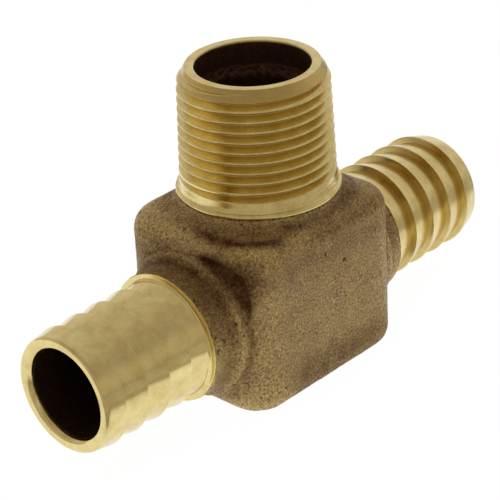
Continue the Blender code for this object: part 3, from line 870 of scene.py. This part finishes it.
def fillerRing(name, r, inner, middle, way):
    outer, half, soft = inner + r["thickness"], r["halfWidth"], r["edgeRound"]
    points = [(inner, middle + half)]
    points += arc((outer - soft, middle + half - soft), soft, 90, 0)
    points += arc((outer - soft, middle - half + soft), soft, 0, -90)
    points += [(inner, middle - half), points[0]]
    piece = shaped(name, lathe, {"Section": section(name, points), "Facets": r["facets"], "Finish": fillerMetal})
    piece.data.transform(place @ turnTo[way])
    return piece


ringPieces = {
    "left_braze_ring": fillerRing("leftFillerRing", ring, ring["runRadius"], ring["runMiddle"], "left"),
    "right_braze_ring": fillerRing("rightFillerRing", ring, ring["runRadius"], ring["runMiddle"], "right"),
    "branch_braze_ring": fillerRing("branchFillerRing", ring, ring["branchRadius"], ring["branchMiddle"], "up")}
print("rings made")

# Each piece rides on the one body, and stands for its solid
for piece, node, finish in (
        (bodyPiece, "cast_body", "cast_bronze"), (branchPiece, "threaded_nipple", "turned_brass"),
        (barbPieces["left"], "left_barb", "turned_brass"), (barbPieces["right"], "right_barb", "turned_brass"),
        *((piece, node, "filler_metal") for node, piece in ringPieces.items())):
    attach(piece, "root")
    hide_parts(node)


# Floor, light and camera: a painted pool of light and painted shadow on a white floor, seen in reflections, a bright
# backdrop and a dimmer room in front
studio = dict(
    floorSize=6.0, floorGap=0.0002, floorColour=(0.90, 0.90, 0.90), floorRoughness=0.9, floorGlow=0.965,
    poolEdge=0.040, poolReach=0.20, rightPull=1.12,
    pool=((0.0, 1.0), (0.40, 0.99), (0.435, 0.96), (0.453, 0.91), (0.462, 0.76), (0.472, 0.46), (0.490, 0.37),
          (0.53, 0.42), (0.57, 0.51), (0.65, 0.51), (0.80, 0.48), (1.0, 0.47)),
    litRange=(0.45, 0.95), floorTint=(1.0, 1.02, 1.07), dimTint=(1.04, 0.96, 0.86), paper=(1.02, 1.02, 1.02),
    footprint=(0.006, 0.0156), footShade=0.78, shadeReach=0.018,
    backdrop=(0.829, 0.559, 0.0), viewWay=(0.743, 0.669, 0.0), sideWay=(-0.669, 0.743, 0.0),
    front=((0.0, 0.36), (0.07, 0.43), (0.14, 0.50), (0.32, 0.53), (0.50, 0.46), (0.62, 0.38), (0.75, 0.39),
           (1.0, 0.43)),
    back=((0.0, 0.97), (0.5, 0.93), (1.0, 0.90)), frontTint=(1.04, 0.94, 0.85),
    backShare=((0.0, 0.0), (0.30, 0.0), (0.40, 0.02), (0.50, 0.08), (0.60, 0.18), (0.715, 0.31), (0.815, 0.36),
               (0.92, 0.37), (0.9575, 0.42), (0.9825, 0.80), (0.9925, 0.95), (1.0, 1.0)),
    lampSpot=(-0.15, 0.1, 1.3), lampSize=1.0, lampPower=5.0)


def levels(tree, value, marks):
    # grey level along a value, through the given marks
    node = put(tree, "ShaderNodeValToRGB", {0: value})
    stops = node.color_ramp.elements
    while len(stops) < len(marks):
        stops.new(0.5)
    for stop, (where, level) in zip(stops, marks):
        stop.position = where
        stop.color = (level, level, level, 1.0)
    return node.outputs[0]


def alongWay(tree, where, way):
    return put(tree, "ShaderNodeVectorMath", {0: where, 1: way}, operation="DOT_PRODUCT").outputs["Value"]


def excess(tree, value, limit):
    return calc(tree, "MAXIMUM", calc(tree, "SUBTRACT", value, limit), 0.0)


def span(tree, x, y):
    spot = put(tree, "ShaderNodeCombineXYZ", {0: x, 1: y}).outputs[0]
    return put(tree, "ShaderNodeVectorMath", {0: spot}, operation="LENGTH").outputs["Value"]


def floorMaterial(s):
    material, tree, shader = newFinish("paleFloor")
    shader.inputs["Base Color"].default_value = (*s["floorColour"], 1.0)
    shader.inputs["Roughness"].default_value = s["floorRoughness"]
    where = put(tree, "ShaderNodeTexCoord").outputs["Object"]
    # in reflections the floor shows a painted pool of light, dimming towards the viewer and the viewer's right
    nearer = excess(tree, s["poolEdge"], alongWay(tree, where, s["viewWay"]))
    leftward = alongWay(tree, where, s["sideWay"])
    righter = calc(tree, "MAXIMUM", calc(tree, "MULTIPLY", leftward, -s["rightPull"]), 0.0)
    away = calc(tree, "DIVIDE", span(tree, nearer, righter), s["poolReach"])
    pool = levels(tree, away, s["pool"])
    least, most = s["litRange"]
    lit = put(tree, "ShaderNodeMapRange", {"Value": pool, "From Min": least, "From Max": most}).outputs[0]
    pool = blend(tree, 1.0, pool, blend(tree, lit, s["dimTint"], s["floorTint"]), "MULTIPLY")
    # a painted shadow: it is dimmer close round the object, too
    spot = put(tree, "ShaderNodeSeparateXYZ", {0: where}).outputs
    gaps = [excess(tree, calc(tree, "ABSOLUTE", spot[k]), half) for k, half in enumerate(s["footprint"])]
    shade = put(tree, "ShaderNodeMapRange", {
        "Value": span(tree, *gaps), "From Max": s["shadeReach"], "To Min": s["footShade"]}).outputs[0]
    pool = dimmed(tree, pool, shade)
    # the camera sees white paper, and diffuse light the plain floor
    path = tree.nodes.new("ShaderNodeLightPath").outputs
    colour = blend(tree, path["Is Camera Ray"], pool, s["paper"])
    glow = put(tree, "ShaderNodeEmission", {"Color": colour, "Strength": 1.0})
    mirrored = calc(tree, "MAXIMUM", path["Is Glossy Ray"], path["Is Transmission Ray"])
    seen = calc(tree, "MAXIMUM", mirrored, calc(tree, "MULTIPLY", path["Is Camera Ray"], s["floorGlow"]))
    mix = put(tree, "ShaderNodeMixShader", {0: seen, 1: shader.outputs[0], 2: glow.outputs[0]})
    tree.links.new(mix.outputs[0], tree.nodes["Material Output"].inputs["Surface"])
    return material


def makeFloor(s):
    builder = bmesh.new()
    bmesh.ops.create_grid(builder, x_segments=1, y_segments=1, size=s["floorSize"] / 2)
    mesh = bpy.data.meshes.new("floor")
    builder.to_mesh(mesh)
    builder.free()
    mesh.transform(Matrix.Translation((0, 0, -s["floorGap"])))
    mesh.materials.append(floorMaterial(s))
    floor = newObject("floor", mesh)


def makeWorld(s):
    world = bpy.data.worlds.new("studio")
    bpy.context.scene.world = world
    world.use_nodes = True
    tree = world.node_tree
    way = put(tree, "ShaderNodeTexCoord").outputs["Generated"]
    rise = put(tree, "ShaderNodeSeparateXYZ", {0: way}).outputs["Z"]
    towards = alongWay(tree, way, s["backdrop"])
    towards = calc(tree, "MULTIPLY_ADD", towards, 0.5, 0.5)  # from none to one
    share = levels(tree, towards, s["backShare"])
    front = blend(tree, 1.0, levels(tree, rise, s["front"]), s["frontTint"], "MULTIPLY")
    sky = blend(tree, share, front, levels(tree, rise, s["back"]))
    path = tree.nodes.new("ShaderNodeLightPath").outputs
    back = tree.nodes["Background"]
    tree.links.new(blend(tree, path["Is Camera Ray"], sky, (1.0, 1.0, 1.0)), back.inputs["Color"])
    back.inputs["Strength"].default_value = 1.0


def makeLamp(s):
    data = bpy.data.lights.new("softLamp", "AREA")
    data.size = s["lampSize"]
    data.energy = s["lampPower"]
    lamp = newObject("softLamp", data)
    lamp.location = s["lampSpot"]
    lamp.rotation_euler = (-lamp.location).to_track_quat("-Z", "Y").to_euler()
    lamp.visible_glossy = False


view = dict(lens=153.66, sensor=36.0, clipStart=0.01, azimuth=-46.370, elevation=27.562, roll=-3.200,
            spot=(-239.831, -225.748, 178.029), shiftX=-0.0008, shiftY=0.0014)


def makeCamera(v):
    data = bpy.data.cameras.new("camera")
    data.lens = v["lens"]
    data.sensor_width = v["sensor"]
    data.clip_start = v["clipStart"]
    data.shift_x = v["shiftX"]
    data.shift_y = v["shiftY"]
    camera = newObject("camera", data)
    spot = place @ Matrix.Translation(v["spot"]).to_translation()
    turn = (Matrix.Rotation(math.radians(v["azimuth"]), 4, "Z")
            @ Matrix.Rotation(math.radians(90 - v["elevation"]), 4, "X")
            @ Matrix.Rotation(math.radians(v["roll"]), 4, "Z"))
    camera.matrix_world = Matrix.Translation(spot) @ turn
    bpy.context.scene.camera = camera


makeFloor(studio)
makeWorld(studio)
makeLamp(studio)
makeCamera(view)
bpy.context.scene.view_settings.view_transform = "Standard"
print("studio made")
